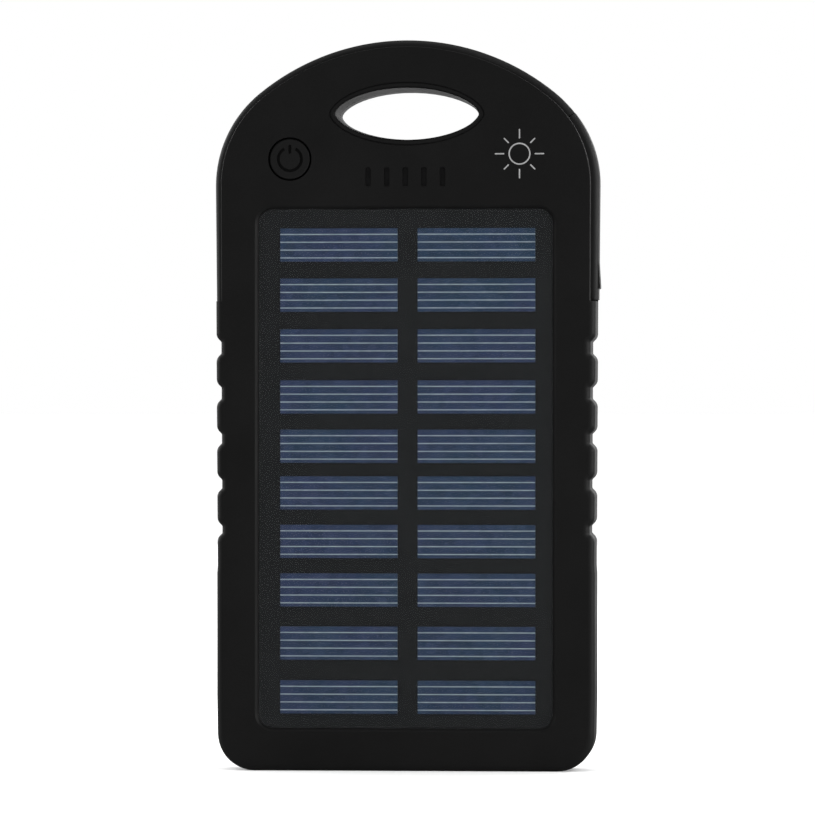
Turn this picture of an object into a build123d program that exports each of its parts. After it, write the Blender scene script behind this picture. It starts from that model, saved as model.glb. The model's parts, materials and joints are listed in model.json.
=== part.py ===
"""Rugged solar power bank: a slim black housing with a solar panel in its front face.

The object is drawn lying on its back, in face coordinates: x to the right, y up towards the
carry hole, z out of the front face. The outline's middle is at x = y = 0 and the rear face at
z = 0. Each piece is turned upright as it is written, so that in the files +Z runs up the long
axis, the solar panel faces -Y, and the origin is below the middle at the foot.
"""

import math
import os

from build123d import *

# ---------------------------------------------------------------- overall size, in mm
WIDTH = 74.5  # over the band
HEIGHT = 141.5
THICKNESS = 14.0
HALF_W = WIDTH / 2
HALF_H = HEIGHT / 2

# Outline of the band: a wide arch and two shoulder arcs, tangent to each other, then the flanks
SHOULDER_R = 23.1
SHOULDER_Y = 42.6
SHOULDER_X = HALF_W - SHOULDER_R
CROWN = HALF_H - SHOULDER_R
ARCH_Y = (CROWN**2 - SHOULDER_X**2 - SHOULDER_Y**2) / (2 * (CROWN - SHOULDER_Y))
ARCH_R = HALF_H - ARCH_Y
BAND_TAPER = 0.22  # the band's flanks lean in by this much down to their lower ends

# Shells
BAND_PROUD = 0.3  # how far the band stands out from the shells
WAIST_W = 36.53  # half-width at the lower end of the grip
WAIST_Y = -31.0
HIP_W = 36.64  # half-width below the grip
HIP_Y = -32.5
FOOT_TAPER_Y = -56.0  # below this the flanks lean in towards the foot's corners
FOOT_W = 36.4
FOOT_CORNER_R = 7.2
RIM_STEP = 1.15  # beside the band the front face stops this far inside the shells' flanks
RIM_EDGE_R = 0.2
PARTING_Z = 6.0
PARTING_BEVEL = 0.12
FRONT_EDGE_R = 1.3
REAR_EDGE_R = 2.0
WALL = 3.9  # side wall, from the flank to the cavity
REAR_SKIN = 1.6
FRONT_SKIN = 1.6
PANEL_SKIN = 1.2  # front wall under the panel

# Grip notches
NOTCH_YS = (11.1, 2.3, -6.5, -15.3, -24.1)
NOTCH_WIDTHS = (3.2, 3.15, 2.75, 2.6, 2.35)  # at half depth, top to bottom
NOTCH_DEPTH = 0.95
NOTCH_MOUTH_R = 1.6
NOTCH_ROOT_R = 0.5

# Band channel, band and port cover
BAND_END_Y = 20.1
CHANNEL_DEPTH = 2.0
CHANNEL_Z = (3.2, 10.8)
BAND_Z = (3.5, 10.5)
BAND_CORNER_R = 1.1
BAND_END_GAP = 0.05
COVER_END_GAP = 0.3
COVER_ANGLE = 37.4  # where the cover begins on the right shoulder, in degrees above level
COVER_CLEAR = 0.15
SEAM_GAP = 0.15
COVER_PROUD = 0.12  # over the band's outline, on the flank
COVER_CREST = 0.16  # the same on the shoulder, where it is fullest
TAB_Y = (27.8, 22.6)
TAB_PROUD = 0.32

# Carry hole
HOLE_X = 0.28
HOLE_Y = 56.3
HOLE_HALF_W = 13.9
HOLE_HALF_H = 5.04
HOLE_FULLNESS = 1.2  # 1 is an ellipse, more is a leaner eye with sharper tips
HOLE_STEPS = 14  # points on each half of the outline
HOLE_WALL = 1.6
LIP_W = 0.85
LIP_GROOVE_W = 0.3
LIP_GROOVE_D = 0.3
LIP_BEVEL = 0.4
HOLE_DRAFT = 0.35  # the front half opens outwards by this much

# Solar panel
PANEL_W = 57.0
PANEL_TOP = 37.9
PANEL_FOOT = -62.5
PANEL_H = PANEL_TOP - PANEL_FOOT
PANEL_Y = (PANEL_TOP + PANEL_FOOT) / 2
PANEL_R = 2.8
PANEL_GAP = 0.08
RECESS_FLOOR_Z = 12.4
RECESS_BEVEL = 0.6
RECESS_BEVEL_D = 0.6
RECESS_CORNER_R = 2.9
ADHESIVE_T = 0.2
BOARD_T = 0.7
CELL_T = 0.18
CELL_GAP = 0.01  # bonding layer on each side of a cell
FILM_T = 0.2
CELL_W = 22.75
CELL_H = 6.42
CELL_XS = (-12.92, 13.73)
CELL_YS = (30.97, 21.27, 11.45, 1.57, -7.96, -17.0, -26.38, -35.78, -46.05, -56.47)

# Power button and its switch
BUTTON_X = -22.4
BUTTON_Y = 47.6
BUTTON_R = 3.98
BUTTON_GAP = 0.24
BUTTON_TOP_Z = 13.9
BUTTON_TRAVEL = 0.4
PLUNGER_R = 1.7
PLUNGER_FOOT_Z = 6.85
SYMBOL_R = 2.25
SYMBOL_STROKE = 0.55
SYMBOL_DEPTH = 0.25

# Indicators
LED_XS = (-7.2, -3.6, 0.0, 3.6, 7.2)
LED_Y = 44.1
SLOT_W = 1.05
SLOT_H = 3.7
GUIDE_TOP_Z = 13.7

# Boards and ports
PCB_Z = (3.1, 4.1)
PCB_FOOT = 20.5
PCB_TOP = 49.0
PCB_EAR_TOP = 53.5
PCB_SCREW_XY = ((-29.2, 24.5), (8.0, 24.5), (26.8, 48.6))
USB_A_Y = 29.2
USB_A_SIZE = (14.0, 13.1, 5.7)
USB_A_WALL = 0.3
MICRO_Y = 41.6
MICRO_SIZE = (5.6, 7.5, 2.8)
MICRO_WALL = 0.25
PORT_FACE_X = 34.8

# Battery
BATTERY_W = 57.0
BATTERY_Y = (-65.0, 14.0)
BATTERY_Z = (1.9, 8.7)
TERRACE_Y = 17.6

# Case screws, from the rear
SCREW_R = 0.98
SCREW_HOLE_R = 1.0
SCREW_HEAD_R = 1.9
SCREW_XY = [(side * x, y) for x, y in ((31.2, -60.0), (31.2, -19.7), (22.0, 58.0)) for side in (-1, 1)]
SCREW_BOSS_R = 2.4

# Torch in the rear face
TORCH_XY = (0.0, 38.0)
TORCH_LENS_R = 4.5


# ---------------------------------------------------------------- outlines
def arch_points(inset):
    """Three points of the right shoulder arc and the top of the arch, moved in by inset."""
    lean = math.atan2(SHOULDER_X, SHOULDER_Y - ARCH_Y)
    radius = SHOULDER_R - inset
    top_r = ARCH_R - inset

    def on_shoulder(angle):
        return (SHOULDER_X + radius * math.sin(angle), SHOULDER_Y + radius * math.cos(angle))

    low, middle, high = (on_shoulder(a) for a in (math.pi / 2, (lean + math.pi / 2) / 2, lean))
    return low, middle, high, (0, ARCH_Y + top_r)


def arch_edges(inset):
    """The outline's upper part, from the right flank over the top to the left flank."""
    low, middle, high, top = arch_points(inset)

    def mirrored(point):
        return (-point[0], point[1])

    return [
        ThreePointArc(low, middle, high),
        ThreePointArc(high, top, mirrored(high)),
        ThreePointArc(mirrored(high), mirrored(middle), mirrored(low)),
    ]


def plain_outline(inset):
    """The outline of the shells with plain flanks, without notches or waist, moved in by inset."""
    flank = HALF_W - BAND_PROUD - inset
    foot = -HALF_H + inset
    corner = FOOT_CORNER_R - min(inset, FOOT_CORNER_R - 2)
    low = FOOT_W - inset
    points = [(flank, SHOULDER_Y), (low, foot), (-low, foot), (-flank, SHOULDER_Y)]
    skirt = FilletPolyline(*points, radius=corner)
    return make_face(Curve() + arch_edges(BAND_PROUD + inset) + skirt)


def half_width(y):
    """Half-width of the shells at a height on the flank, above the waist."""
    top_w = HALF_W - BAND_PROUD
    return top_w - (top_w - WAIST_W) * (SHOULDER_Y - y) / (SHOULDER_Y - WAIST_Y)


def flank_points():
    """The right flank from the shoulder to the foot, with the radius of each corner after the first."""
    points = [(HALF_W - BAND_PROUD, SHOULDER_Y)]
    radii = []
    for y, width in zip(NOTCH_YS, NOTCH_WIDTHS):
        outer = half_width(y)
        mouth = (width + NOTCH_DEPTH) / 2
        root = (width - NOTCH_DEPTH) / 2
        points += [(outer, y + mouth), (outer - NOTCH_DEPTH, y + root)]
        points += [(outer - NOTCH_DEPTH, y - root), (outer, y - mouth)]
        radii += [NOTCH_MOUTH_R, NOTCH_ROOT_R, NOTCH_ROOT_R, NOTCH_MOUTH_R]
    points += [(WAIST_W, WAIST_Y), (HIP_W, HIP_Y), (HIP_W, FOOT_TAPER_Y)]
    points += [(FOOT_W, -HALF_H), (0, -HALF_H)]
    radii += [0, 0, 0, FOOT_CORNER_R]
    return points, radii


def shell_outline():
    """The outline of both shells, with the grip notches."""
    points, radii = flank_points()
    right = FilletPolyline(*points, radius=radii)
    return make_face(Curve() + arch_edges(BAND_PROUD) + right + mirror(right, Plane.YZ))


def lens(outset):
    """The carry hole's outline: an eye between an ellipse and a lens, grown by outset."""
    half_w = HOLE_HALF_W + outset
    half_h = HOLE_HALF_H + outset
    upper = []
    for step in range(1, HOLE_STEPS):
        turn = math.pi * step / HOLE_STEPS
        upper.append((half_w * math.cos(turn), half_h * math.sin(turn) ** HOLE_FULLNESS))
    right, left = (half_w, 0), (-half_w, 0)
    lower = [(-x, -y) for x, y in upper]
    curve = Spline(right, *upper, left, *lower, periodic=True)
    return Pos(HOLE_X, HOLE_Y) * make_face(curve)


def slab(face, low, high):
    """A straight-sided block on a face, from one height to another."""
    return extrude(Pos(0, 0, low) * face, high - low)


def block(x, y, z):
    """A box from its low and high x, y and z."""
    size = [high - low for low, high in (x, y, z)]
    return Pos(sum(x) / 2, sum(y) / 2, sum(z) / 2) * Box(*size)


def rod(x, y, radius, low, high):
    """An upright round bar."""
    return Pos(x, y, (low + high) / 2) * Cylinder(radius, high - low)


def group(pieces):
    """Several separate solids in one node."""
    return Compound(children=[solid for piece in pieces for solid in piece.solids()])


# ---------------------------------------------------------------- shells
def above(y):
    """Everything above a height on the face."""
    return block((-60, 60), (y, 120), (-5, 25))


def band_channel():
    """The channel round the arch that holds the band and the port cover."""
    ring = Rectangle(120, 200) - plain_outline(CHANNEL_DEPTH)
    return slab(ring, *CHANNEL_Z) & above(BAND_END_Y)


def port_windows():
    """Windows in the channel's floor for the two receptacles."""
    reach = (30.0, 38.0)
    usb = block(reach, (USB_A_Y - 6.75, USB_A_Y + 6.75), (PCB_Z[1] - 0.2, PCB_Z[1] + 5.9))
    micro = block(reach, (MICRO_Y - 3.95, MICRO_Y + 3.95), (PCB_Z[1] - 0.2, PCB_Z[1] + 3.0))
    return usb + micro


def front_hole():
    """The carry hole through the front shell, with draft and a bevelled rim."""
    bore = loft([Pos(0, 0, PARTING_Z) * lens(-HOLE_DRAFT), Pos(0, 0, THICKNESS) * lens(0)])
    bevel = loft(
        [Pos(0, 0, THICKNESS - LIP_BEVEL) * lens(0), Pos(0, 0, THICKNESS) * lens(LIP_BEVEL * 0.7)]
    )
    return bore + bevel


def rear_hole():
    """The carry hole through the rear shell, straight, with a bevelled rim."""
    narrow = lens(-HOLE_DRAFT)
    bevel = loft([lens(LIP_BEVEL - HOLE_DRAFT), Pos(0, 0, LIP_BEVEL) * narrow])
    return slab(narrow, 0, PARTING_Z) + bevel


def hole_seam():
    """A fine groove where the two shells meet inside the carry hole."""
    reach = PARTING_BEVEL
    return slab(lens(reach - HOLE_DRAFT), PARTING_Z - reach, PARTING_Z + reach)


def collar(low, high):
    """The wall round the carry hole inside the housing."""
    return slab(lens(HOLE_WALL), low, high)


def bosses(low, high, radius):
    """One round post at each case screw."""
    posts = Part()
    for x, y in SCREW_XY:
        posts += rod(x, y, radius, low, high)
    return posts


def panel_recess():
    """The pocket for the solar panel, with a bevelled lip."""
    width = PANEL_W + 2 * PANEL_GAP
    height = PANEL_H + 2 * PANEL_GAP
    spread = 2 * RECESS_BEVEL
    pocket = RectangleRounded(width, height, RECESS_CORNER_R)
    mouth = RectangleRounded(width + spread, height + spread, RECESS_CORNER_R + RECESS_BEVEL)
    bevel = loft([Pos(0, 0, THICKNESS - RECESS_BEVEL_D) * pocket, Pos(0, 0, THICKNESS) * mouth])
    return Pos(0, PANEL_Y) * (slab(pocket, RECESS_FLOOR_Z, THICKNESS) + bevel)


def slot_face():
    """Outline of one indicator slot."""
    return RectangleRounded(SLOT_W, SLOT_H, 0.35)


def front_cavity():
    """The inside of the front shell: deeper above the panel than below it."""
    inside = plain_outline(WALL)
    low = slab(inside, PARTING_Z, RECESS_FLOOR_Z - PANEL_SKIN)
    deep = slab(inside, PARTING_Z, THICKNESS - FRONT_SKIN) & above(PANEL_TOP + 2.6)
    return low + deep


def lip_groove():
    """The crease round the raised lip of the carry hole."""
    ring = lens(LIP_W + LIP_GROOVE_W) - lens(LIP_W)
    return slab(ring, THICKNESS - LIP_GROOVE_D, THICKNESS)


def gasket(grow):
    """The seal between the shells, broken only at the ports, moved out on all sides by grow."""
    ring = plain_outline(2.5 - grow) - plain_outline(3.3 + grow)
    cord = slab(ring, PARTING_Z - 0.48 - grow, PARTING_Z + 0.48 + grow)
    return cord - block((30, 40), (USB_A_Y - 7.5 - grow, MICRO_Y + 4.5 + grow), (0, THICKNESS))


def front_block():
    """The front shell's outer form: round edges below the band and a sharper, stepped rim beside it."""
    low = slab(shell_outline(), PARTING_Z, THICKNESS)
    low = fillet(low.edges().group_by(Axis.Z)[-1], FRONT_EDGE_R)
    low = chamfer(low.edges().group_by(Axis.Z)[0], PARTING_BEVEL)
    cap = slab(plain_outline(RIM_STEP), CHANNEL_Z[1], THICKNESS)
    cap = fillet(cap.edges().group_by(Axis.Z)[-1], RIM_EDGE_R)
    upper = above(BAND_END_Y)
    step = upper & block((-60, 60), (0, 120), (CHANNEL_Z[1], THICKNESS + 1))
    return (low - step) + (cap & upper)


def front_shell():
    shell = front_block()
    shell -= front_cavity()
    shell += collar(PARTING_Z, THICKNESS - 1)
    shell += bosses(PARTING_Z, THICKNESS - FRONT_SKIN, SCREW_BOSS_R) & slab(plain_outline(2), 0, 12)
    for y in (-50.0, -22.0, 8.0):
        shell += block((-33.5, 33.5), (y - 0.6, y + 0.6), (9.4, 11.4))
    for x, y in PCB_SCREW_XY:
        shell += rod(x, y, 2.2, PCB_Z[1], THICKNESS - FRONT_SKIN + 0.2)
        shell -= rod(x, y, SCREW_HOLE_R, PCB_Z[1], PCB_Z[1] + 6)
    shell -= panel_recess()
    shell -= front_hole()
    shell -= hole_seam()
    shell -= lip_groove()
    shell -= rod(BUTTON_X, BUTTON_Y, BUTTON_R + BUTTON_GAP, 10, THICKNESS + 1)
    for x in LED_XS:
        shell -= Pos(x, LED_Y) * slab(slot_face(), 11, THICKNESS)
    shell -= block((-26.0, -18.0), (31.0, 34.5), (10, RECESS_FLOOR_Z))
    shell -= bosses(PARTING_Z, PARTING_Z + 5.4, SCREW_HOLE_R)
    shell -= band_channel()
    shell -= port_windows()
    shell -= gasket(0.02)
    return shell


def rear_shell():
    shell = slab(shell_outline(), 0, PARTING_Z)
    shell = fillet(shell.edges().group_by(Axis.Z)[0], REAR_EDGE_R)
    shell = chamfer(shell.edges().group_by(Axis.Z)[-1], PARTING_BEVEL)
    shell -= slab(plain_outline(WALL), REAR_SKIN, PARTING_Z)
    shell += collar(1, PARTING_Z)
    shell += bosses(1, PARTING_Z, SCREW_BOSS_R) & slab(plain_outline(2), 0, 12)
    shell -= rear_hole()
    shell -= hole_seam()
    shell -= bosses(0, PARTING_Z, SCREW_HOLE_R + 0.15)
    shell -= bosses(0, 1.5, SCREW_HEAD_R + 0.15)
    shell -= rod(*TORCH_XY, TORCH_LENS_R + 0.1, 0, 1.1)
    shell -= rod(*TORCH_XY, TORCH_LENS_R - 0.9, 0, REAR_SKIN)
    shell -= band_channel()
    shell -= port_windows()
    shell -= gasket(0.02)
    label = RectangleRounded(46, 62, 3) - RectangleRounded(45.2, 61.2, 2.6)
    shell -= Pos(0, -18) * slab(label, 0, 0.25)
    return shell


def case_gasket():
    return gasket(0)


def screw(x, y, head_low, head_high, tip):
    """A pan-head screw from the rear, with a cross slot in its head."""
    body = rod(x, y, SCREW_HEAD_R, head_low, head_high) + rod(x, y, SCREW_R, head_high, tip)
    for turn in (0, 90):
        body -= Pos(x, y, head_low + 0.25) * Rot(0, 0, turn + 20) * Box(2.2, 0.45, 0.5)
    return body


def case_screws():
    return group(screw(x, y, 0.3, 1.5, PARTING_Z + 4.6) for x, y in SCREW_XY)


# ---------------------------------------------------------------- band and port cover
def band_section(outer, inner_inset, end_gap):
    """A stretch of soft rim with rounded outer corners, over the whole arch."""
    ring = slab(outer, *BAND_Z) & above(BAND_END_Y + end_gap)
    rims = ring.faces().filter_by(Axis.Z).edges()
    ring = fillet([edge for edge in rims if edge.center().Y > BAND_END_Y + 1], BAND_CORNER_R)
    return ring - slab(plain_outline(inner_inset), -1, THICKNESS + 1)


def cover_side(gap):
    """The part of the face on the cover's side of the seam, short of it by gap."""
    angle = math.radians(COVER_ANGLE)
    along = Vector(math.sin(angle), -math.cos(angle))
    seam = Vector(SHOULDER_X, SHOULDER_Y) + along * (40 + gap)
    plate = Pos(seam.X, seam.Y, THICKNESS / 2) * Rot(0, 0, COVER_ANGLE) * Box(90, 80, 30)
    return plate & block((SHOULDER_X, 60), (-20, 80), (-5, 25))


def rim_band():
    foot_w = HALF_W - BAND_TAPER
    flanks = Polyline(
        (-HALF_W, SHOULDER_Y), (-foot_w, BAND_END_Y), (foot_w, BAND_END_Y), (HALF_W, SHOULDER_Y)
    )
    outer = make_face(Curve() + arch_edges(0) + flanks)
    return band_section(outer, CHANNEL_DEPTH, BAND_END_GAP) - cover_side(0)


def shoulder_point(degrees, proud):
    """A point on the right shoulder at an angle above the flank, proud of the band's outline."""
    angle = math.radians(degrees)
    reach = SHOULDER_R + proud
    return (SHOULDER_X + reach * math.cos(angle), SHOULDER_Y + reach * math.sin(angle))


def cover_outline():
    """Outer face of the port cover: flush with the band at the seam and a little fuller below it."""
    flank = shoulder_point(0, COVER_PROUD)
    top = shoulder_point(45, 0)
    foot = (HALF_W - BAND_TAPER + COVER_PROUD, BAND_END_Y)
    return make_face(Curve() + [
        ThreePointArc(flank, shoulder_point(20, COVER_CREST), top),
        Polyline(top, (SHOULDER_X, BAND_END_Y), foot, flank),
    ])


def thumb_tab():
    """A wedge that rises towards its lower end, to open the cover with a thumb."""
    high, low = TAB_Y
    base = HALF_W - BAND_TAPER + COVER_PROUD
    crest = base + TAB_PROUD
    profile = make_face(Polyline(
        (base - 0.5, high), (base + 0.05, high), (crest, low + 0.5), (crest, low), (base - 0.5, low - 0.3),
        close=True,
    ))
    return slab(profile, BAND_Z[0] + 0.6, BAND_Z[1] - 0.6)


def port_cover():
    cover = band_section(cover_outline(), CHANNEL_DEPTH - COVER_CLEAR, COVER_END_GAP)
    cover &= cover_side(SEAM_GAP)
    cover += thumb_tab()
    inner_x = HALF_W - BAND_PROUD - CHANNEL_DEPTH + COVER_CLEAR + 0.1
    floor = PCB_Z[1]
    cover += block((inner_x - 1.9, inner_x), (USB_A_Y - 5.5, USB_A_Y + 5.5), (floor + 0.7, floor + 2.8))
    cover += block((inner_x - 1.4, inner_x), (MICRO_Y - 2.6, MICRO_Y + 2.6), (floor + 1.55, floor + 2.3))
    return cover


# ---------------------------------------------------------------- solar panel
def panel_slab(shrink, low, thick):
    face = RectangleRounded(PANEL_W - 2 * shrink, PANEL_H - 2 * shrink, PANEL_R - shrink)
    return Pos(0, PANEL_Y) * slab(face, low, low + thick)


def panel_adhesive():
    frame = panel_slab(1.0, RECESS_FLOOR_Z, ADHESIVE_T)
    return frame - block((-26.5, -17.5), (30.5, 35.0), (0, THICKNESS))


def panel_board():
    return panel_slab(0, RECESS_FLOOR_Z + ADHESIVE_T, BOARD_T)


def solar_cells():
    low = RECESS_FLOOR_Z + ADHESIVE_T + BOARD_T + CELL_GAP
    cell = Rectangle(CELL_W, CELL_H)
    return group(Pos(x, y) * slab(cell, low, low + CELL_T) for x in CELL_XS for y in CELL_YS)


def panel_cover_film():
    return panel_slab(0, RECESS_FLOOR_Z + ADHESIVE_T + BOARD_T + CELL_T + 2 * CELL_GAP, FILM_T)


# ---------------------------------------------------------------- button, switch, indicators
def power_symbol():
    """An open ring with a bar in its gap."""
    ring = Circle(SYMBOL_R + SYMBOL_STROKE / 2) - Circle(SYMBOL_R - SYMBOL_STROKE / 2)
    gap = Polyline((0, 0), (-2.4, 4.2), (2.4, 4.2), close=True)
    ring -= make_face(gap)
    return ring + Pos(0, SYMBOL_R - 0.35) * RectangleRounded(0.55, 1.7, 0.25)


def power_button():
    cap = rod(0, 0, BUTTON_R, 12.0, BUTTON_TOP_Z)
    cap = fillet(cap.edges().group_by(Axis.Z)[-1], 0.35)
    cap += rod(0, 0, BUTTON_R + 1.3, 11.2, 12.2)
    cap += rod(0, 0, 2.0, 9.02, 11.3)
    cap -= slab(power_symbol(), BUTTON_TOP_Z - SYMBOL_DEPTH, BUTTON_TOP_Z + 1)
    return Pos(BUTTON_X, BUTTON_Y) * cap


def tact_switch():
    low = PCB_Z[1]
    body = Pos(0, 0, low + 1.75) * Box(6, 6, 3.5)
    body = chamfer(body.edges().filter_by(Axis.Z), 0.6)
    body -= rod(0, 0, PLUNGER_R + 0.08, PLUNGER_FOOT_Z - BUTTON_TRAVEL - 0.15, low + 4)
    return Pos(BUTTON_X, BUTTON_Y) * body


def switch_plunger():
    return rod(BUTTON_X, BUTTON_Y, PLUNGER_R, PLUNGER_FOOT_Z, 9.0)


def light_guide():
    web = Pos(0, LED_Y, 11.85) * Box(19, 6, 0.9)
    for x in LED_XS:
        bar = RectangleRounded(SLOT_W - 0.06, SLOT_H - 0.06, 0.32)
        web += Pos(x, LED_Y) * slab(bar, PCB_Z[1] + 0.75, GUIDE_TOP_Z)
    return web


def indicator_leds():
    return group(Pos(x, LED_Y, PCB_Z[1] + 0.3) * Box(0.9, 1.7, 0.6) for x in LED_XS)


# ---------------------------------------------------------------- boards
def main_pcb():
    board = block((-32.8, 32.8), (PCB_FOOT, PCB_TOP), PCB_Z)
    for side in (-1, 1):
        board += block(sorted((side * 18.0, side * 32.0)), (PCB_TOP - 1, PCB_EAR_TOP), PCB_Z)
    board &= slab(plain_outline(WALL + 0.4), 0, THICKNESS)
    for x, y in PCB_SCREW_XY:
        board -= rod(x, y, SCREW_HOLE_R + 0.15, 0, THICKNESS)
    return board


def pcb_screws():
    return group(screw(x, y, PCB_Z[0] - 1.0, PCB_Z[0], PCB_Z[1] + 4.6) for x, y in PCB_SCREW_XY)


def controller_chips():
    top = PCB_Z[1]
    places = ((-4.0, 33.0, 5.0, 5.0, 0.9), (8.5, 34.5, 4.9, 3.9, 1.5), (-14.0, 33.0, 3.0, 3.0, 0.9))
    return group(Pos(x, y, top + h / 2) * Box(w, d, h) for x, y, w, d, h in places)


def power_inductor():
    low = PCB_Z[1]
    core = rod(15.0, 43.0, 3.4, low, low + 1.0) + rod(15.0, 43.0, 2.6, low, low + 3.4)
    return core + rod(15.0, 43.0, 3.4, low + 3.2, low + 4.2)


def capacitors():
    low = PCB_Z[1]
    places = [(-9.0 + 2.2 * i, 28.5) for i in range(5)] + [(12.6 + 2.4 * i, 37.0) for i in range(3)]
    return group(Pos(x, y, low + 0.45) * Box(1.2, 2.0, 0.9) for x, y in places)


# ---------------------------------------------------------------- receptacles
def usb_a_shell():
    length, width, height = USB_A_SIZE
    low = PCB_Z[1]
    tube = block((PORT_FACE_X - length, PORT_FACE_X), (-width / 2, width / 2), (low, low + height))
    inner = width / 2 - USB_A_WALL
    room = (low + USB_A_WALL, low + height - USB_A_WALL)
    tube -= block((PORT_FACE_X - length + USB_A_WALL, PORT_FACE_X + 1), (-inner, inner), room)
    for y in (-3.0, 3.0):
        tube -= block((PORT_FACE_X - 8, PORT_FACE_X - 3.5), (y - 1.1, y - 0.8), (low + 4, low + 7))
        tube -= block((PORT_FACE_X - 8, PORT_FACE_X - 3.5), (y + 0.8, y + 1.1), (low + 4, low + 7))
    return Pos(0, USB_A_Y) * tube


def usb_a_tongue():
    length, width, height = USB_A_SIZE
    low = PCB_Z[1]
    back = PORT_FACE_X - length + USB_A_WALL
    half = width / 2 - USB_A_WALL
    tongue = block((back, back + 4.2), (-half, half), (low + USB_A_WALL, low + height - USB_A_WALL))
    tongue += block((back, PORT_FACE_X - 0.6), (-5.55, 5.55), (low + 3.15, low + 4.95))
    return Pos(0, USB_A_Y) * tongue


def usb_a_contacts():
    low = PCB_Z[1]
    start = PORT_FACE_X - USB_A_SIZE[0] + USB_A_WALL + 4.2
    return group(
        block((start, PORT_FACE_X - 1.2), (USB_A_Y + y - 0.5, USB_A_Y + y + 0.5), (low + 3.0, low + 3.15))
        for y in (-3.5, -1.0, 1.0, 3.5)
    )


def micro_profile(shrink):
    """Mouth of the micro-USB receptacle: wide at the top, with cut lower corners."""
    width = MICRO_SIZE[1] / 2 - shrink
    low = PCB_Z[1] + shrink
    high = PCB_Z[1] + MICRO_SIZE[2] - shrink
    points = [(-width + 0.7, low), (width - 0.7, low), (width, low + 0.8)]
    points += [(width, high), (-width, high), (-width, low + 0.8)]
    return Plane.YZ * make_face(Polyline(*points, close=True))


def micro_usb_shell():
    length = MICRO_SIZE[0]
    tube = extrude(micro_profile(0), length)
    tube -= Pos(MICRO_WALL, 0, 0) * extrude(micro_profile(MICRO_WALL), length)
    return Pos(PORT_FACE_X - length, MICRO_Y) * tube


def micro_usb_tongue():
    low = PCB_Z[1]
    back = PORT_FACE_X - MICRO_SIZE[0] + MICRO_WALL
    tongue = block((back, back + 1.3), (-2.9, 2.9), (low + 0.35, low + 2.4))
    tongue += block((back, PORT_FACE_X - 0.7), (-1.85, 1.85), (low + 0.55, low + 1.15))
    return Pos(0, MICRO_Y) * tongue


def micro_usb_contacts():
    low = PCB_Z[1]
    start = PORT_FACE_X - MICRO_SIZE[0] + MICRO_WALL + 1.3
    reach = (start, PORT_FACE_X - 1.0)
    heights = (low + 1.15, low + 1.23)
    places = [MICRO_Y + y for y in (-1.3, -0.65, 0.0, 0.65, 1.3)]
    return group(block(reach, (y - 0.18, y + 0.18), heights) for y in places)


# ---------------------------------------------------------------- battery and leads
def battery_pouch():
    half = BATTERY_W / 2
    pouch = block((-half, half), BATTERY_Y, BATTERY_Z)
    pouch = fillet(pouch.edges().filter_by(Axis.Z), 2.5)
    pouch = fillet(pouch.edges().group_by(Axis.Z)[-1], 1.2)
    low = BATTERY_Z[0] + 0.6
    return pouch + block((-half + 3, half - 3), (BATTERY_Y[1] - 1, TERRACE_Y), (low, low + 1))


def battery_tape():
    return block((-20, 20), (BATTERY_Y[0] + 8, BATTERY_Y[1] - 6), (REAR_SKIN, BATTERY_Z[0]))


def battery_protection_board():
    low = BATTERY_Z[0] + 1.6
    return block((-18, 18), (TERRACE_Y - 3.3, TERRACE_Y - 0.1), (low, low + 0.8))


def lead(points, bend):
    """A short insulated wire with rounded bends."""
    path = FilletPolyline(*points, radius=bend)
    start = Plane(origin=path @ 0, z_dir=path % 0)
    return sweep(start * Circle(0.55), path=path)


def battery_lead(x):
    low = BATTERY_Z[0] + 2.4 + 0.56
    top = PCB_Z[1] + 0.56
    places = ((TERRACE_Y - 2.8, low), (TERRACE_Y + 0.6, low), (PCB_FOOT + 1.0, top), (PCB_FOOT + 3.6, top))
    return lead([(x, y, z) for y, z in places], 1.0)


def solar_lead(x):
    high = RECESS_FLOOR_Z + ADHESIVE_T
    top = PCB_Z[1] + 0.56
    return lead(((x, 32.8, high), (x, 32.8, top), (x, 37.5, top)), 2.0)


# ---------------------------------------------------------------- torch
def torch_led():
    x, y = TORCH_XY
    return Pos(x, y, PCB_Z[0] - 0.35) * Box(2.6, 2.6, 0.7)


def torch_reflector():
    x, y = TORCH_XY
    ring = rod(0, 0, 3.5, 1.15, 2.95)
    cone = Pos(0, 0, 2.05) * Cone(3.2, 2.1, 1.8)
    return Pos(x, y) * (ring - cone)


def torch_lens():
    x, y = TORCH_XY
    return rod(x, y, TORCH_LENS_R, 0.2, 1.1)


# ---------------------------------------------------------------- the whole object
PIECES = {
    "front_shell": front_shell,
    "rear_shell": rear_shell,
    "case_gasket": case_gasket,
    "case_screws": case_screws,
    "rim_band": rim_band,
    "port_cover": port_cover,
    "panel_adhesive": panel_adhesive,
    "panel_board": panel_board,
    "solar_cells": solar_cells,
    "panel_cover_film": panel_cover_film,
    "power_button": power_button,
    "tact_switch": tact_switch,
    "switch_plunger": switch_plunger,
    "light_guide": light_guide,
    "indicator_leds": indicator_leds,
    "main_pcb": main_pcb,
    "pcb_screws": pcb_screws,
    "controller_chips": controller_chips,
    "power_inductor": power_inductor,
    "capacitors": capacitors,
    "usb_a_shell": usb_a_shell,
    "usb_a_tongue": usb_a_tongue,
    "usb_a_contacts": usb_a_contacts,
    "micro_usb_shell": micro_usb_shell,
    "micro_usb_tongue": micro_usb_tongue,
    "micro_usb_contacts": micro_usb_contacts,
    "battery_pouch": battery_pouch,
    "battery_tape": battery_tape,
    "battery_protection_board": battery_protection_board,
    "battery_lead_red": lambda: battery_lead(-10.0),
    "battery_lead_black": lambda: battery_lead(-6.5),
    "solar_lead_red": lambda: solar_lead(-23.5),
    "solar_lead_black": lambda: solar_lead(-20.5),
    "torch_led": torch_led,
    "torch_reflector": torch_reflector,
    "torch_lens": torch_lens,
}

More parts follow.
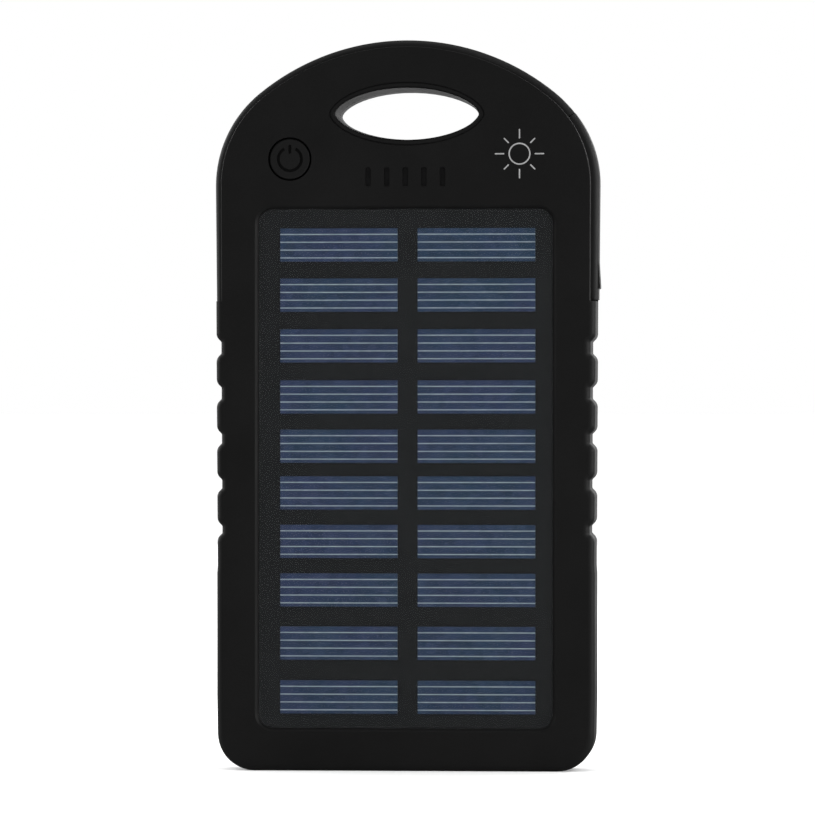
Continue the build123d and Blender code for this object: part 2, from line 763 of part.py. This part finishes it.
STAND_UP = Pos(0, THICKNESS / 2, HALF_H) * Rot(90, 0, 0)

os.makedirs("parts", exist_ok=True)
for name, make in PIECES.items():
    export_step(STAND_UP * make(), os.path.join("parts", name + ".step"))
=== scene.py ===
"""Looks of the solar power bank: materials, printed and etched detail, studio and camera."""

import json
import math

import bmesh
import bpy
from mathutils import Matrix, Vector


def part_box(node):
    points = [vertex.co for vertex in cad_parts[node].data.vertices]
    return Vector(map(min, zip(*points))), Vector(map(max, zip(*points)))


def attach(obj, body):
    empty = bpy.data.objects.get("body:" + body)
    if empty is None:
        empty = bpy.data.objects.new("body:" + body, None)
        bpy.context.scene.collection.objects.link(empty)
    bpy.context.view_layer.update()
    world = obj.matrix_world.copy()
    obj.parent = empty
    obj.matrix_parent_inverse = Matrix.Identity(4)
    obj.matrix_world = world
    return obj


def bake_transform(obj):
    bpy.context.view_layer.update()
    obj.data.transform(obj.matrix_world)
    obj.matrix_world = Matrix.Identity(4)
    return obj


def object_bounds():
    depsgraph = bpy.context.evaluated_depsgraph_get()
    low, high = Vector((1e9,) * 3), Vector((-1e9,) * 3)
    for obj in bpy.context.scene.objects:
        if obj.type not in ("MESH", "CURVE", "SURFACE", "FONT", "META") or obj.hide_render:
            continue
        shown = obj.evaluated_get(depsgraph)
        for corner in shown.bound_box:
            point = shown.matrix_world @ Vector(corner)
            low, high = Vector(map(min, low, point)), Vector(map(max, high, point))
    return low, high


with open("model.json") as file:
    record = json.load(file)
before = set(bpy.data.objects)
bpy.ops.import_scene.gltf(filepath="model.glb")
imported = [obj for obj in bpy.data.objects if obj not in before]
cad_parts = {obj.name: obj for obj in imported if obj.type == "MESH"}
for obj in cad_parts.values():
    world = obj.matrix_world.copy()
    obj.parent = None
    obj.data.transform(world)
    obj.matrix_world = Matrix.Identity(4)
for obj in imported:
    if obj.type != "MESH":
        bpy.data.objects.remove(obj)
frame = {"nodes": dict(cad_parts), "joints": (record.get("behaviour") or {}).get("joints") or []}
cad_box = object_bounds()
NODES = frame["nodes"]
JOINTS = {joint["name"]: joint for joint in frame["joints"]}
MM = 0.001

FOOT_Z = cad_box[0].z
CENTRE = (cad_box[0] + cad_box[1]) / 2
FRONT_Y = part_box("front_shell")[0].y  # the front face; the camera's side is -Y
REAR_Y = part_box("rear_shell")[1].y


# ---------------------------------------------------------------- material helpers
def new_material(name):
    """An empty node material and its Principled shader."""
    material = bpy.data.materials.new(name)
    material.use_nodes = True
    return material, material.node_tree.nodes["Principled BSDF"]


def node(tree, kind, **values):
    """A node with some of its sockets or properties set by name."""
    made = tree.nodes.new(kind)
    for key, value in values.items():
        if hasattr(made, key):
            setattr(made, key, value)
        else:
            made.inputs[key.replace("_", " ")].default_value = value
    return made


def set_sockets(shader, sockets):
    """Uniform values on the shader's own sockets, by names with _ for a space."""
    for key, value in sockets.items():
        shader.inputs[key.replace("_", " ")].default_value = value


def grey(level, tint=1.0):
    """A grey of a linear level, its blue scaled by tint."""
    return (level, level, level * tint)


def object_coordinates(tree, stretch=(1, 1, 1)):
    """The object's own coordinates in metres, stretched along the axes."""
    place = node(tree, "ShaderNodeTexCoord")
    mapping = node(tree, "ShaderNodeMapping", Scale=stretch)
    tree.links.new(place.outputs["Object"], mapping.inputs["Vector"])
    return mapping.outputs["Vector"]


def noise(tree, vector, scale, detail=3.0):
    """A noise pattern of so many waves in a metre, as a 0 to 1 value."""
    made = node(tree, "ShaderNodeTexNoise", Scale=scale, Detail=detail)
    tree.links.new(vector, made.inputs["Vector"])
    return made.outputs[0]


def remap(tree, value, low, high, start=0.3, end=0.7):
    """A value between start and end, spread over low to high."""
    made = node(tree, "ShaderNodeMapRange", From_Min=start, From_Max=end, To_Min=low, To_Max=high)
    tree.links.new(value, made.inputs["Value"])
    return made.outputs["Result"]


def ramp(tree, value, stops):
    """A value turned into a colour by (position, colour) stops."""
    made = node(tree, "ShaderNodeValToRGB")
    band = made.color_ramp
    while len(band.elements) < len(stops):
        band.elements.new(0.5)
    for element, (position, colour) in zip(band.elements, stops):
        element.position = position
        element.color = (*colour, 1)
    tree.links.new(value, made.inputs["Fac"])
    return made.outputs["Color"]


def mix_colours(tree, share, first, second):
    """The first colour with a fixed share of the second."""
    made = node(tree, "ShaderNodeMix", data_type="RGBA", Factor=share)
    # The colour sockets go by number, because the node's numbers and vectors have the same names.
    tree.links.new(first, made.inputs[6])
    tree.links.new(second, made.inputs[7])
    return made.outputs[2]


def bump(tree, shader, height, strength, depth):
    """A relief of a depth in metres on the shader's normal."""
    made = node(tree, "ShaderNodeBump", Strength=strength, Distance=depth)
    tree.links.new(height, made.inputs["Height"])
    tree.links.new(made.outputs["Normal"], shader.inputs["Normal"])


def surface(name, dark, light, rough=(0.45, 0.6), patch=120, grain=3200, relief=0.02, **sockets):
    """A finish whose colour and gloss vary in soft patches, with a fine grain of a relief in mm."""
    material, shader = new_material(name)
    tree = material.node_tree
    vector = object_coordinates(tree)
    patches = noise(tree, vector, patch)
    tree.links.new(ramp(tree, patches, [(0.3, dark), (0.7, light)]), shader.inputs["Base Color"])
    tree.links.new(remap(tree, patches, *rough), shader.inputs["Roughness"])
    bump(tree, shader, noise(tree, vector, grain, 2.0), 0.5, relief * MM)
    set_sockets(shader, sockets)
    return material


def drawn(name, dark, light, rough, stretch=(1, 1, 1)):
    """Bare metal with a fine grain, which a stretch turns into the lines of drawing."""
    material, shader = new_material(name)
    tree = material.node_tree
    lines = noise(tree, object_coordinates(tree, stretch), 900, 4.0)
    tree.links.new(ramp(tree, lines, [(0.3, dark), (0.7, light)]), shader.inputs["Base Color"])
    tree.links.new(remap(tree, lines, *rough), shader.inputs["Roughness"])
    bump(tree, shader, lines, 0.3, 0.01 * MM)
    shader.inputs["Metallic"].default_value = 1.0
    return material


# ---------------------------------------------------------------- materials
def moulded_black():
    """Spark-eroded black ABS: a low sheen, a fine pitted grain and slight mottling."""
    material, shader = new_material("moulded_black")
    tree = material.node_tree
    vector = object_coordinates(tree)
    clouds = noise(tree, vector, 70)
    pits = node(tree, "ShaderNodeTexVoronoi", Scale=2600.0, Randomness=1.0)
    tree.links.new(vector, pits.inputs["Vector"])
    colour = ramp(tree, clouds, [(0.3, grey(0.0042)), (0.7, grey(0.0054))])
    tree.links.new(colour, shader.inputs["Base Color"])
    tree.links.new(remap(tree, clouds, 0.50, 0.58), shader.inputs["Roughness"])
    bump(tree, shader, pits.outputs["Distance"], 0.35, 0.03 * MM)
    shader.inputs["Specular IOR Level"].default_value = 0.2
    return material


ENGRAVING_SHADE_FROM = 0.05 * MM  # depths under the button's face over which painted shade darkens its engraved sign
ENGRAVING_SHADE_TO = 0.12 * MM


def key_black():
    """The button's smooth black, with painted shade that darkens the engraved sign by its depth."""
    face_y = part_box("power_button")[0].y
    material, shader = new_material("key_black")
    tree = material.node_tree
    vector = object_coordinates(tree)
    place = node(tree, "ShaderNodeSeparateXYZ")
    tree.links.new(vector, place.inputs["Vector"])
    # Painted shade: the sign's colour darkens with its depth under the button's face.
    start, end = face_y + ENGRAVING_SHADE_FROM, face_y + ENGRAVING_SHADE_TO
    sunk_shade = remap(tree, place.outputs["Y"], 0.0, 1.0, start, end)
    stops = [(0.0, grey(0.0058)), (1.0, grey(0.0012))]
    tree.links.new(ramp(tree, sunk_shade, stops), shader.inputs["Base Color"])
    tree.links.new(remap(tree, noise(tree, vector, 160), 0.46, 0.54), shader.inputs["Roughness"])
    bump(tree, shader, noise(tree, vector, 2600, 2.0), 0.5, 0.012 * MM)
    shader.inputs["Specular IOR Level"].default_value = 0.2
    return material


FLAKE_SHARE = 0.55  # of the flakes in a cell's pattern; the rest is streaks
HUE_SHARE = 0.35  # of the slow drift of hue over the panel


def cell_blue():
    """Polycrystalline silicon: angular flakes of blue with fine streaks and a slow drift of hue."""
    material, shader = new_material("cell_blue")
    tree = material.node_tree
    vector = object_coordinates(tree)
    flakes = node(tree, "ShaderNodeTexVoronoi", Scale=620.0, Randomness=1.0)
    tree.links.new(vector, flakes.inputs["Vector"])
    split = node(tree, "ShaderNodeSeparateColor")
    tree.links.new(flakes.outputs["Color"], split.inputs["Color"])
    streaks = noise(tree, object_coordinates(tree, (0.12, 1, 1.6)), 1400, 3.0)
    grain = node(tree, "ShaderNodeMath", operation="MULTIPLY_ADD")
    grain.inputs[1].default_value = 1 - FLAKE_SHARE
    tree.links.new(streaks, grain.inputs[0])
    share = node(tree, "ShaderNodeMath", operation="MULTIPLY")
    share.inputs[1].default_value = FLAKE_SHARE
    tree.links.new(split.outputs["Red"], share.inputs[0])
    tree.links.new(share.outputs["Value"], grain.inputs[2])
    stops = [
        (0.15, (0.014, 0.033, 0.080)),
        (0.45, (0.022, 0.046, 0.104)),
        (0.62, (0.028, 0.052, 0.118)),
        (0.85, (0.040, 0.068, 0.140)),
    ]
    hues = [(0.38, (0.020, 0.058, 0.096)), (0.62, (0.034, 0.043, 0.118))]
    blues = ramp(tree, grain.outputs["Value"], stops)
    drift = ramp(tree, noise(tree, vector, 75), hues)
    tree.links.new(mix_colours(tree, HUE_SHARE, blues, drift), shader.inputs["Base Color"])
    tree.links.new(remap(tree, split.outputs["Green"], 0.28, 0.42, 0, 1), shader.inputs["Roughness"])
    bump(tree, shader, split.outputs["Red"], 0.15, 0.01 * MM)
    shader.inputs["Specular IOR Level"].default_value = 0.4
    return material


def panel_film():
    """A clear satin film: nearly all of what is under it shows, behind a faint grey haze."""
    material, shader = new_material("panel_film")
    tree = material.node_tree
    vector = object_coordinates(tree)
    haze = noise(tree, vector, 260)
    colour = ramp(tree, haze, [(0.3, (0.012, 0.013, 0.014)), (0.7, (0.016, 0.017, 0.018))])
    tree.links.new(colour, shader.inputs["Base Color"])
    tree.links.new(remap(tree, haze, 0.40, 0.48), shader.inputs["Roughness"])
    shader.inputs["Alpha"].default_value = 0.14
    shader.inputs["Specular IOR Level"].default_value = 0.5
    return material


def circuit_green():
    """Solder mask with the darker and lighter bands of copper tracks under it."""
    material, shader = new_material("circuit_green")
    tree = material.node_tree
    tracks = node(
        tree, "ShaderNodeTexVoronoi", Scale=420.0, distance="MANHATTAN", feature="F2", Randomness=0.7
    )
    tree.links.new(object_coordinates(tree), tracks.inputs["Vector"])
    stops = [(0.45, (0.004, 0.060, 0.022)), (0.55, (0.010, 0.110, 0.040))]
    tree.links.new(ramp(tree, tracks.outputs["Distance"], stops), shader.inputs["Base Color"])
    tree.links.new(remap(tree, tracks.outputs["Distance"], 0.25, 0.4), shader.inputs["Roughness"])
    bump(tree, shader, tracks.outputs["Distance"], 0.2, 0.02 * MM)
    shader.inputs["Specular IOR Level"].default_value = 0.5
    return material


def pouch_foil():
    """Aluminium laminate with shallow wrinkles."""
    material, shader = new_material("pouch_foil")
    tree = material.node_tree
    creases = noise(tree, object_coordinates(tree, (1, 1, 0.4)), 140, 5.0)
    stops = [(0.3, (0.46, 0.47, 0.49)), (0.7, (0.60, 0.61, 0.63))]
    tree.links.new(ramp(tree, creases, stops), shader.inputs["Base Color"])
    tree.links.new(remap(tree, creases, 0.28, 0.42), shader.inputs["Roughness"])
    bump(tree, shader, creases, 0.6, 0.15 * MM)
    shader.inputs["Metallic"].default_value = 0.9
    return material


def clear_plastic(name, tint, alpha):
    """A clear moulding, thin enough that light crosses it unbent."""
    material, shader = new_material(name)
    tree = material.node_tree
    cloud = noise(tree, object_coordinates(tree), 300)
    lighter = tuple(min(1.0, channel * 1.1) for channel in tint)
    tree.links.new(ramp(tree, cloud, [(0.3, tint), (0.7, lighter)]), shader.inputs["Base Color"])
    tree.links.new(remap(tree, cloud, 0.05, 0.12), shader.inputs["Roughness"])
    shader.inputs["Alpha"].default_value = alpha
    return material


SOFT_GRAIN = dict(rough=(0.55, 0.65), patch=90, grain=2400, relief=0.015)

# The values of surface() for the plain finishes, by the name of the record's slot.
SURFACES = {
    "silicone_black": dict(
        dark=grey(0.0055), light=grey(0.0075), Specular_IOR_Level=0.38, **SOFT_GRAIN
    ),
    "seal_grey": dict(dark=grey(0.020), light=grey(0.030), **SOFT_GRAIN),
    "panel_ground": dict(
        dark=(0.0105, 0.0120, 0.0130), light=(0.0145, 0.0160, 0.0172), rough=(0.5, 0.6),
        patch=1100, grain=1800, relief=0.001, Specular_IOR_Level=0.2,
    ),
    "foam_black": dict(
        dark=grey(0.012), light=grey(0.020), rough=(0.85, 0.95), patch=900, grain=1500, relief=0.08
    ),
    "switch_black": dict(dark=grey(0.012), light=grey(0.018), rough=(0.35, 0.45)),
    "guide_smoked": dict(
        dark=grey(0.0026), light=grey(0.0044, 1.1), rough=(0.35, 0.45),
        patch=900, grain=3000, relief=0.004, Specular_IOR_Level=0.2,
    ),
    "led_white": dict(dark=(0.70, 0.70, 0.64), light=(0.80, 0.80, 0.75), rough=(0.3, 0.4)),
    "chip_black": dict(
        dark=grey(0.010), light=grey(0.016), rough=(0.5, 0.6), patch=800, grain=2800
    ),
    "ferrite": dict(
        dark=grey(0.045), light=grey(0.070), rough=(0.6, 0.7), patch=900, grain=2000, relief=0.03
    ),
    "ceramic": dict(dark=(0.42, 0.30, 0.19), light=(0.52, 0.38, 0.25), rough=(0.35, 0.45)),
    "tongue_black": dict(dark=grey(0.014), light=grey(0.020), rough=(0.4, 0.5)),
    "board_amber": dict(dark=(0.34, 0.18, 0.02), light=(0.44, 0.26, 0.04), rough=(0.2, 0.3)),
    "wire_red": dict(dark=(0.42, 0.012, 0.010), light=(0.52, 0.018, 0.014), rough=(0.35, 0.45)),
    "wire_black": dict(dark=grey(0.010), light=grey(0.015), rough=(0.35, 0.45)),
    "torch_phosphor": dict(dark=(0.78, 0.62, 0.10), light=(0.86, 0.72, 0.18), rough=(0.4, 0.5)),
}

# The values of drawn() for the bare metals.
METALS = {
    "screw_steel": dict(dark=grey(0.06), light=grey(0.12), rough=(0.32, 0.45)),
    "port_steel": dict(
        dark=grey(0.50), light=grey(0.62), rough=(0.22, 0.34), stretch=(0.1, 1, 1)
    ),
    "contact_gold": dict(dark=(0.72, 0.50, 0.18), light=(0.84, 0.62, 0.26), rough=(0.2, 0.3)),
    "torch_mirror": dict(dark=grey(0.80), light=grey(0.88), rough=(0.05, 0.10)),
}


def make_finishes():
    """Material by the name of the record's slot."""
    finishes = {name: surface(name, **values) for name, values in SURFACES.items()}
    finishes.update({name: drawn(name, **values) for name, values in METALS.items()})
    finishes["shell_black"] = moulded_black()
    finishes["key_black"] = key_black()
    finishes["cell_blue"] = cell_blue()
    finishes["panel_film"] = panel_film()
    finishes["pcb_green"] = circuit_green()
    finishes["pouch_silver"] = pouch_foil()
    finishes["torch_clear"] = clear_plastic("torch_clear", (0.85, 0.87, 0.90), 0.15)
    return finishes


NODE_SLOTS = {
    "shell_black": ["front_shell", "rear_shell"],
    "silicone_black": ["rim_band", "port_cover"],
    "seal_grey": ["case_gasket"],
    "screw_steel": ["case_screws", "pcb_screws"],
    "panel_ground": ["panel_board"],
    "cell_blue": ["solar_cells"],
    "panel_film": ["panel_cover_film"],
    "foam_black": ["panel_adhesive", "battery_tape"],
    "key_black": ["power_button"],
    "switch_black": ["tact_switch", "switch_plunger"],
    "guide_smoked": ["light_guide"],
    "led_white": ["indicator_leds"],
    "pcb_green": ["main_pcb"],
    "chip_black": ["controller_chips"],
    "ferrite": ["power_inductor"],
    "ceramic": ["capacitors"],
    "port_steel": ["usb_a_shell", "micro_usb_shell"],
    "tongue_black": ["usb_a_tongue", "micro_usb_tongue"],
    "contact_gold": ["usb_a_contacts", "micro_usb_contacts"],
    "pouch_silver": ["battery_pouch"],
    "board_amber": ["battery_protection_board"],
    "wire_red": ["battery_lead_red", "solar_lead_red"],
    "wire_black": ["battery_lead_black", "solar_lead_black"],
    "torch_phosphor": ["torch_led"],
    "torch_mirror": ["torch_reflector"],
    "torch_clear": ["torch_lens"],
}


def paint_nodes(finishes):
    """Gives every CAD node the finish of its slot."""
    for slot, names in NODE_SLOTS.items():
        for name in names:
            piece = NODES[name]
            piece.data.materials.clear()
            piece.data.materials.append(finishes[slot])


# ---------------------------------------------------------------- detail pieces
def make_piece(name, mesh, material, body="case"):
    """A finished piece from a bmesh in the row's frame, riding on its body if it has one."""
    data = bpy.data.meshes.new(name)
    bmesh.ops.recalc_face_normals(mesh, faces=mesh.faces)
    mesh.to_mesh(data)
    mesh.free()
    piece = bpy.data.objects.new(name, data)
    bpy.context.scene.collection.objects.link(piece)
    data.materials.append(material)
    if body:
        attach(piece, body)
    return piece


def add_box(mesh, low, high):
    """An axis-aligned box between two corners."""
    low, high = Vector(low), Vector(high)
    matrix = Matrix.Translation((low + high) / 2) @ Matrix.Diagonal((*(high - low), 1))
    bmesh.ops.create_cube(mesh, size=1, matrix=matrix)


def add_plate(mesh, points, y_back, y_front):
    """A flat plate with the outline points (x, z), between two depths."""
    rings = [[mesh.verts.new((x, y, z)) for x, z in points] for y in (y_back, y_front)]
    for ring in rings:
        mesh.faces.new(ring)
    count = len(points)
    for i in range(count):
        j = (i + 1) % count
        mesh.faces.new((rings[0][i], rings[0][j], rings[1][j], rings[1][i]))


SPAN_GAP = 1.0 * MM  # coordinates nearer than this to one another are one end of a cell


def spans(values):
    """The (low, high) span of each cell in a row, from the coordinates of all their corners."""
    ends = []
    for value in sorted(values):
        if ends and value - ends[-1][1] < SPAN_GAP:
            ends[-1][1] = value
        else:
            ends.append([value, value])
    return [(low[0], high[1]) for low, high in zip(ends[0::2], ends[1::2])]


FINGER_DROPS = (1.16 * MM, 2.67 * MM, 4.19 * MM, 5.70 * MM)  # from the cell's upper edge
FINGER_HALF_W = 0.11 * MM
FINGER_PRINT = 0.004 * MM  # thickness
FLATNESS = 0.001 * MM  # how far a vertex of the cells' faces may lie behind them


def cell_fingers():
    """Four printed silver lines across every cell."""
    cells = NODES["solar_cells"]
    vertices = [cells.matrix_world @ v.co for v in cells.data.vertices]
    front = min(v.y for v in vertices)
    face = [v for v in vertices if v.y < front + FLATNESS]
    mesh = bmesh.new()
    for x_low, x_high in spans(v.x for v in face):
        for _, z_high in spans(v.z for v in face):
            for drop in FINGER_DROPS:
                z = z_high - drop
                low = (x_low, front - FINGER_PRINT, z - FINGER_HALF_W)
                add_box(mesh, low, (x_high, front, z + FINGER_HALF_W))
    material = surface(
        "finger_silver", dark=(0.23, 0.30, 0.35), light=(0.34, 0.41, 0.46), rough=(0.35, 0.5),
        patch=900, grain=4000, relief=0.003,
    )
    make_piece("cell_fingers", mesh, material)


SUN_X = 22.1 * MM
SUN_RISE = 48.5 * MM  # above the middle of the face
SUN_RING_OUTER_R = 2.13 * MM
SUN_RING_INNER_R = 1.87 * MM
SUN_RING_SIDES = 40
SUN_RAYS = 8
SUN_RAY_START = 3.0 * MM  # from the sun's centre
SUN_RAY_ENDS = (4.7 * MM, 4.2 * MM)  # the long and the short rays by turns
SUN_RAY_TIP = 0.1 * MM  # by which a ray's ends come to a point
SUN_RAY_HALF_W = 0.13 * MM
SUN_PRINT = 0.012 * MM  # thickness


def circle(radius, count):
    """The points (x, z) of a regular polygon round the origin."""
    turns = [2 * math.pi * i / count for i in range(count)]
    return [(radius * math.cos(turn), radius * math.sin(turn)) for turn in turns]


def sun_pictogram():
    """A printed sun, the common sign for solar charging."""
    centre_z = CENTRE.z + SUN_RISE
    mesh = bmesh.new()

    def print_plate(points):
        placed = [(SUN_X + x, centre_z + z) for x, z in points]
        add_plate(mesh, placed, FRONT_Y, FRONT_Y - SUN_PRINT)

    outer = circle(SUN_RING_OUTER_R, SUN_RING_SIDES)
    inner = circle(SUN_RING_INNER_R, SUN_RING_SIDES)
    for i in range(SUN_RING_SIDES):
        j = (i + 1) % SUN_RING_SIDES
        print_plate([outer[i], outer[j], inner[j], inner[i]])
    for i in range(SUN_RAYS):
        turn = 2 * math.pi * i / SUN_RAYS
        cosine, sine = math.cos(turn), math.sin(turn)
        start, end = SUN_RAY_START, SUN_RAY_ENDS[i % 2]
        ray = [
            (start, -SUN_RAY_HALF_W),
            (end, -SUN_RAY_HALF_W),
            (end + SUN_RAY_TIP, 0),
            (end, SUN_RAY_HALF_W),
            (start, SUN_RAY_HALF_W),
            (start - SUN_RAY_TIP, 0),
        ]
        print_plate([(u * cosine - v * sine, u * sine + v * cosine) for u, v in ray])
    material = surface(
        "print_grey", dark=grey(0.24), light=grey(0.31), rough=(0.45, 0.55),
        patch=700, grain=3000, relief=0.004,
    )
    make_piece("sun_pictogram", mesh, material)


WEB_TILT = math.radians(37.4)  # of the shoulder's outward direction at the seam, above level
WEB_HALF_W = 2.9 * MM  # across the rim
WEB_REACH = 1.3 * MM  # to each side of the joint's axis
WEB_DEPTHS = (0.28 * MM, 0.75 * MM)  # of its faces, under the joint's axis
WEB_STEPS = 16


def hinge_web(material):
    """The thin strap of silicone that stays between the band and the open cover."""
    axis = Vector(JOINTS["port_cover_hinge"]["pos_m"])
    outward = Vector((math.cos(WEB_TILT), 0, math.sin(WEB_TILT)))
    along = Vector((-math.sin(WEB_TILT), 0, math.cos(WEB_TILT)))
    middle_y = (FRONT_Y + REAR_Y) / 2
    mesh = bmesh.new()
    sections = []
    for i in range(WEB_STEPS + 1):
        centre = axis + along * WEB_REACH * (2 * i / WEB_STEPS - 1)
        section = []
        for side, face in ((-1, 0), (1, 0), (1, 1), (-1, 1)):
            point = centre - outward * WEB_DEPTHS[face]
            point.y = middle_y + side * WEB_HALF_W
            section.append(mesh.verts.new(point))
        sections.append(section)
    for near, far in zip(sections, sections[1:]):
        for i in range(4):
            j = (i + 1) % 4
            mesh.faces.new((near[i], near[j], far[j], far[i]))
    mesh.faces.new(sections[0])
    mesh.faces.new(sections[-1])
    web = make_piece("hinge_web", mesh, material, body=None)
    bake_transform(web)


# ---------------------------------------------------------------- camera and studio
SENSOR_WIDTH = 36.0  # in mm, like the lens
LENS = 265.0
CAMERA_DISTANCE = 1.166
CAMERA_AZIMUTH = math.radians(4.2)  # to the object's right
CAMERA_AIM = Vector((-0.08 * MM, 0, CENTRE.z - 0.47 * MM))
CLIP_START = 0.01
CLIP_END = 200.0


def add_camera():
    """A long lens, level, a little to the object's right."""
    data = bpy.data.cameras.new("camera")
    camera = bpy.data.objects.new("camera", data)
    bpy.context.scene.collection.objects.link(camera)
    data.sensor_width = SENSOR_WIDTH
    data.lens = LENS
    data.clip_start = CLIP_START
    data.clip_end = CLIP_END
    back = Vector((math.sin(CAMERA_AZIMUTH), -math.cos(CAMERA_AZIMUTH), 0))
    camera.location = CAMERA_AIM + back * CAMERA_DISTANCE
    camera.rotation_mode = "QUATERNION"
    camera.rotation_quaternion = (-back).to_track_quat("-Z", "Y")
    bpy.context.scene.camera = camera


MIDDLE = (0, 0, CENTRE.z)
LOW_BOX_Z = FOOT_Z + 5 * MM
WORLD_LIGHT = 1.0
WORLD_LIGHT_IN_GLOSS = 0.11  # what the object's gloss reflects of the white surround
FLOOR_SIZE = 120
FLOOR_TONE = 0.97
FLOOR_TONE_IN_GLOSS = 0.10
FLOOR_GLOW = 0.1

# Name, place, point aimed at, side and power in watts.
SOFTBOXES = [
    ("softbox_right", (0.75, -0.12, 0.16), MIDDLE, 0.5, 4.0),
    ("softbox_left", (-0.75, 0.1, 0.3), MIDDLE, 0.5, 3.0),
    ("softbox_top", (0.0, 0.0, 1.2), MIDDLE, 0.9, 2.5),
    ("softbox_rear_right", (0.6, 0.7, 0.5), MIDDLE, 0.5, 3.0),
    ("softbox_rear_left", (-0.6, 0.8, 0.4), MIDDLE, 0.5, 3.0),
    ("softbox_back", (0.25, 1.8, 0.3), MIDDLE, 1.6, 7.0),
    ("softbox_low", (0.3, 1.1, LOW_BOX_Z), (0.3, 1.1, 1.0), 1.5, 8.0),
    ("softbox_front", (0.8, -1.3, 0.1), MIDDLE, 0.8, 2.0),
]


def add_softbox(name, place, aim, side, power):
    """A square soft light that points from place to aim."""
    data = bpy.data.lights.new(name, "AREA")
    data.shape = "SQUARE"
    data.size = side
    data.energy = power
    light = bpy.data.objects.new(name, data)
    light.location = place
    light.rotation_euler = (Vector(aim) - Vector(place)).to_track_quat("-Z", "Y").to_euler()
    bpy.context.scene.collection.objects.link(light)


def add_surround():
    """A white world, which the object's gloss sees dimmer than the camera does."""
    world = bpy.data.worlds.new("studio")
    bpy.context.scene.world = world
    world.use_nodes = True
    tree = world.node_tree
    white = tree.nodes["Background"]
    white.inputs["Color"].default_value = (1, 1, 1, 1)
    white.inputs["Strength"].default_value = WORLD_LIGHT
    dim = node(tree, "ShaderNodeBackground", Color=(1, 1, 1, 1), Strength=WORLD_LIGHT_IN_GLOSS)
    ray = node(tree, "ShaderNodeLightPath")
    mix = node(tree, "ShaderNodeMixShader")
    tree.links.new(ray.outputs["Is Glossy Ray"], mix.inputs["Fac"])
    tree.links.new(white.outputs[0], mix.inputs[1])
    tree.links.new(dim.outputs[0], mix.inputs[2])
    tree.links.new(mix.outputs[0], tree.nodes["World Output"].inputs["Surface"])


def add_floor():
    """A pale matt floor to the horizon, darker in the object's gloss."""
    bpy.ops.mesh.primitive_plane_add(size=FLOOR_SIZE, location=(0, 0, FOOT_Z))
    floor = bpy.context.object
    floor.name = "floor"
    material, shader = new_material("floor_pale")
    shader.inputs["Roughness"].default_value = 0.9
    shader.inputs["Specular IOR Level"].default_value = 0.1
    shader.inputs["Emission Color"].default_value = (1, 1, 1, 1)
    shader.inputs["Emission Strength"].default_value = FLOOR_GLOW
    tree = material.node_tree
    ray = node(tree, "ShaderNodeLightPath")
    stops = [(0, grey(FLOOR_TONE)), (1, grey(FLOOR_TONE_IN_GLOSS))]
    tree.links.new(ramp(tree, ray.outputs["Is Glossy Ray"], stops), shader.inputs["Base Color"])
    floor.data.materials.append(material)


def add_studio():
    """The surround, the floor and soft lights on both sides, above, behind and in front."""
    bpy.context.scene.view_settings.view_transform = "Standard"
    add_surround()
    add_floor()
    for softbox in SOFTBOXES:
        add_softbox(*softbox)


finishes = make_finishes()
paint_nodes(finishes)
cell_fingers()
sun_pictogram()
hinge_web(finishes["silicone_black"])
add_camera()
add_studio()
